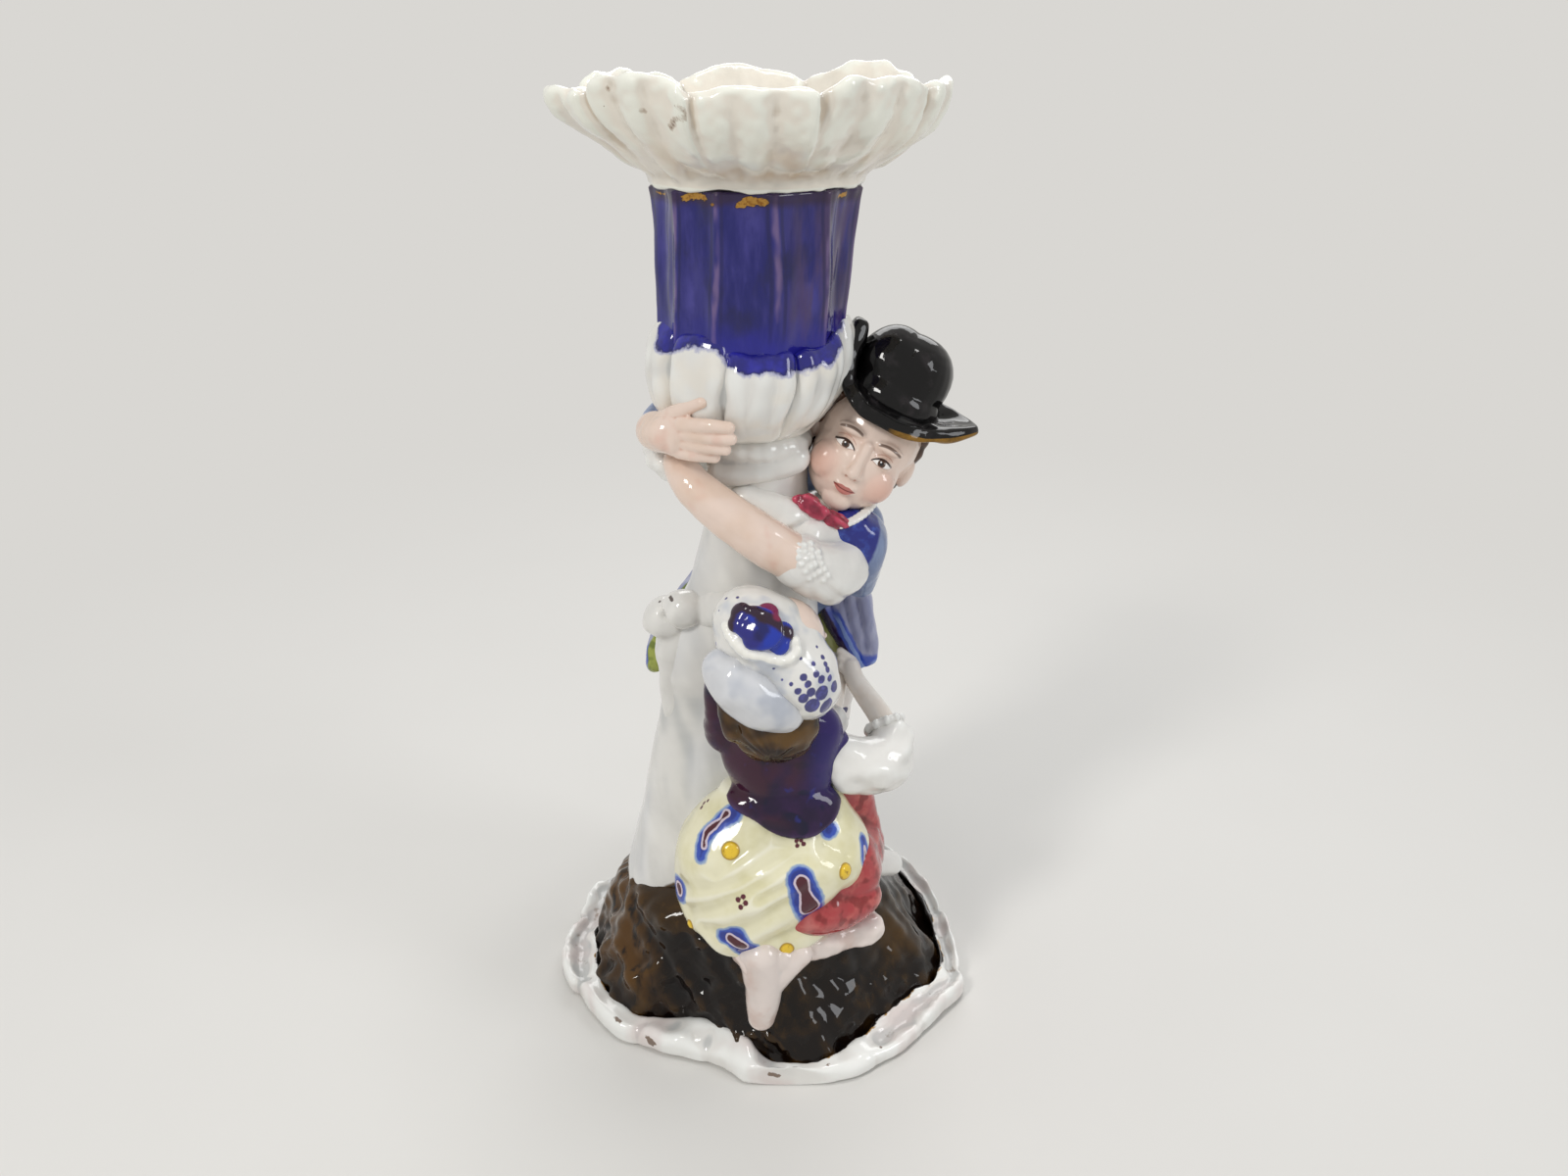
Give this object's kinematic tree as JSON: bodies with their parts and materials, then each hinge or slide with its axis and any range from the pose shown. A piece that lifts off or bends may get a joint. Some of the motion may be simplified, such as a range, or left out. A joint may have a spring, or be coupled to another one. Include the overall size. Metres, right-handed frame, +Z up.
{
  "type": "porcelain figure candlestick",
  "caption": "Porcelain candlestick: a youth and a seated lady by a tree-trunk stem on a rocky foot, with a fluted candle sconce, petal calyx and petal drip pan.",
  "frame": {"origin": "on the table, under the middle of the foot's outline", "axes": "+Z up along the stem, the candle's axis 4 mm in front of the origin; the seated lady's back faces -Y, and the youth's head is on the +X side"},
  "size_m": [0.0838, 0.0738, 0.1729],
  "materials": {
    "white_glaze": "glossy white glaze with small specks",
    "brown_glaze": "glossy dark brown glaze, amber where thin",
    "cobalt_enamel": "glossy streaked cobalt blue enamel",
    "black_enamel": "glossy black enamel",
    "flesh_enamel": "glossy, faintly blushed flesh tint",
    "crimson_enamel": "glossy mottled crimson enamel",
    "aubergine_enamel": "glossy blotched purple enamel",
    "cream_enamel": "glossy pale yellow glaze with painted flowers",
    "slate_enamel": "glossy thin grey-blue enamel",
    "hair_enamel": "glossy brown enamel"
  },
  "bodies": {
    "root": {"base_mound": "brown_glaze", "foot_border": "white_glaze", "trunk": "white_glaze", "stem_collar": "white_glaze", "candle_sconce": "cobalt_enamel", "calyx": "white_glaze", "drip_pan": "white_glaze", "branch_stub_lower": "white_glaze", "branch_stub_upper": "white_glaze", "youth_head": "flesh_enamel", "hat_crown": "black_enamel", "hat_brim": "black_enamel", "youth_right_hand": "flesh_enamel", "youth_left_forearm": "flesh_enamel", "youth_left_sleeve": "white_glaze", "youth_left_hand": "flesh_enamel", "youth_right_cuff": "slate_enamel", "youth_right_sleeve": "white_glaze", "youth_vest": "cobalt_enamel", "youth_shirt": "white_glaze", "youth_hair": "hair_enamel", "neckcloth_bow": "crimson_enamel", "shirt_frill": "white_glaze", "youth_breeches": "cream_enamel", "coat_tail_left": "slate_enamel", "coat_tail_right": "slate_enamel", "youth_left_shoe": "black_enamel", "youth_left_leg": "white_glaze", "youth_right_shoe": "black_enamel", "youth_right_leg": "white_glaze", "stool_seat": "white_glaze", "stool_leg": "white_glaze", "lady_bodice": "aubergine_enamel", "lady_head": "flesh_enamel", "bonnet_rosette": "cobalt_enamel", "bonnet_puff": "white_glaze", "lady_hair": "hair_enamel", "bonnet_cap": "white_glaze", "lady_right_sleeve": "white_glaze", "lady_right_ruffle": "white_glaze", "lady_right_forearm": "flesh_enamel", "lady_left_sleeve": "white_glaze", "lady_left_forearm": "flesh_enamel", "overskirt": "cream_enamel", "petticoat": "crimson_enamel", "lady_shoe": "white_glaze"}
  },
  "joints": []
}
